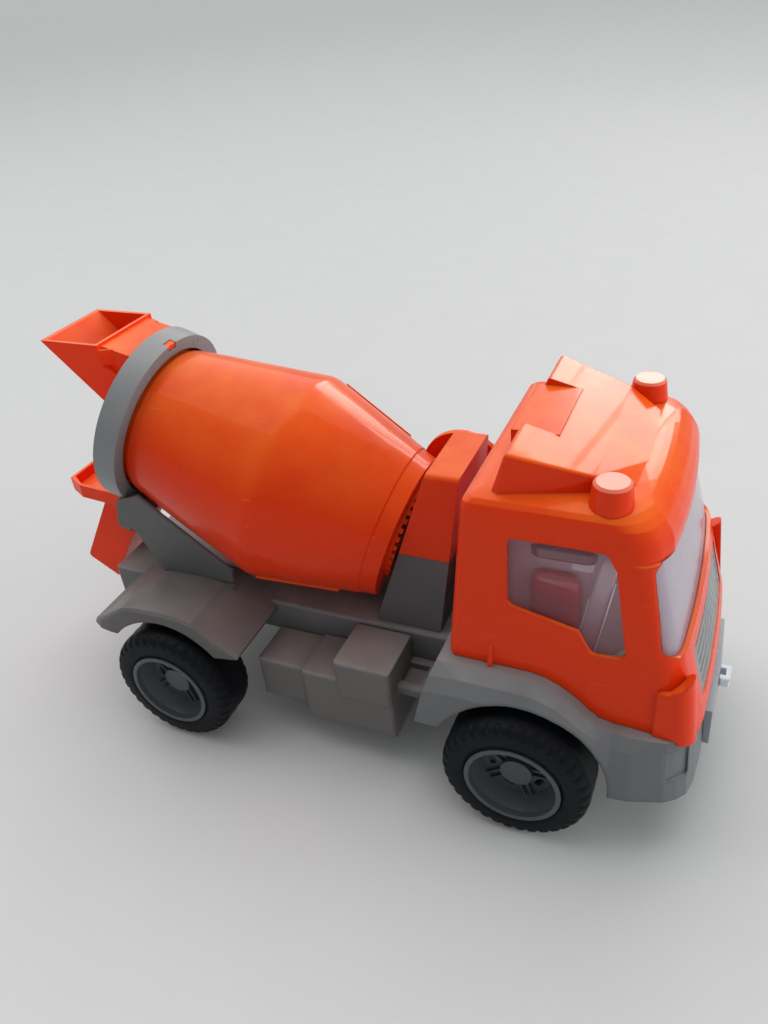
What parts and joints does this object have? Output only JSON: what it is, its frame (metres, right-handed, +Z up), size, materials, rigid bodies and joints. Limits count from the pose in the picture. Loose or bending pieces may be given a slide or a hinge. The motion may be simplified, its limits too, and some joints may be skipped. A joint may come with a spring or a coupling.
{
  "type": "toy concrete mixer truck",
  "caption": "Toy concrete mixer truck: cab with clear windows, sloping drum, hopper, discharge trough and chute, free-rolling wheels.",
  "frame": {"origin": "on the floor under the middle of the truck's whole length, in its middle plane", "axes": "+X towards the cab's nose, +Y to the truck's left side, +Z up"},
  "size_m": [0.4118, 0.186, 0.22],
  "materials": {
    "orange_plastic": "gloss",
    "grey_plastic": "satin",
    "tyre_black": "satin",
    "axle_steel": "satin",
    "clear_plastic": "gloss"
  },
  "bodies": {
    "truck": {"chassis": "grey_plastic", "front_axle": "axle_steel", "rear_axle": "axle_steel", "side_boxes_right": "grey_plastic", "side_boxes_left": "grey_plastic", "rear_fenders": "grey_plastic", "drum_stand": "grey_plastic", "front_fenders": "grey_plastic", "bumper_plate": "grey_plastic", "tow_hook": "grey_plastic", "cab_shell": "orange_plastic", "cab_glazing": "clear_plastic", "grille": "grey_plastic", "air_deflectors": "orange_plastic", "beacons": "orange_plastic", "gearbox_base": "grey_plastic", "gearbox_cover": "orange_plastic", "drum_ring": "grey_plastic", "hopper": "orange_plastic", "discharge_trough": "orange_plastic", "discharge_chute": "orange_plastic"},
    "wheel_front_right": {"rim_front_right": "grey_plastic", "tyre_front_right": "tyre_black"},
    "wheel_front_left": {"rim_front_left": "grey_plastic", "tyre_front_left": "tyre_black"},
    "wheel_rear_right": {"rim_rear_right": "grey_plastic", "tyre_rear_right": "tyre_black"},
    "wheel_rear_left": {"rim_rear_left": "grey_plastic", "tyre_rear_left": "tyre_black"},
    "drum": {"drum": "orange_plastic"},
    "crank_wheel": {"crank_wheel": "orange_plastic"}
  },
  "joints": [
    {"name": "wheel_front_right_spin", "type": "hinge", "parent": "truck", "child": "wheel_front_right", "pos_m": [0.11448, -0.078, 0.038], "axis": [0, 1, 0], "continuous": true},
    {"name": "wheel_front_left_spin", "type": "hinge", "parent": "truck", "child": "wheel_front_left", "pos_m": [0.11448, 0.078, 0.038], "axis": [0, 1, 0], "continuous": true},
    {"name": "wheel_rear_right_spin", "type": "hinge", "parent": "truck", "child": "wheel_rear_right", "pos_m": [-0.09052, -0.078, 0.038], "axis": [0, 1, 0], "continuous": true},
    {"name": "wheel_rear_left_spin", "type": "hinge", "parent": "truck", "child": "wheel_rear_left", "pos_m": [-0.09052, 0.078, 0.038], "axis": [0, 1, 0], "continuous": true},
    {"name": "drum_spin", "type": "hinge", "parent": "truck", "child": "drum", "pos_m": [-0.09052, 0, 0.1538], "axis": [0.9494, 0, -0.314], "continuous": true},
    {"name": "crank_spin", "type": "hinge", "parent": "truck", "child": "crank_wheel", "pos_m": [0.04708, 0.0445, 0.1284], "axis": [0, 1, 0], "continuous": true}
  ],
  "couplings": [
    {"joint": "crank_spin", "follows": "drum_spin", "ratio": 3}
  ]
}
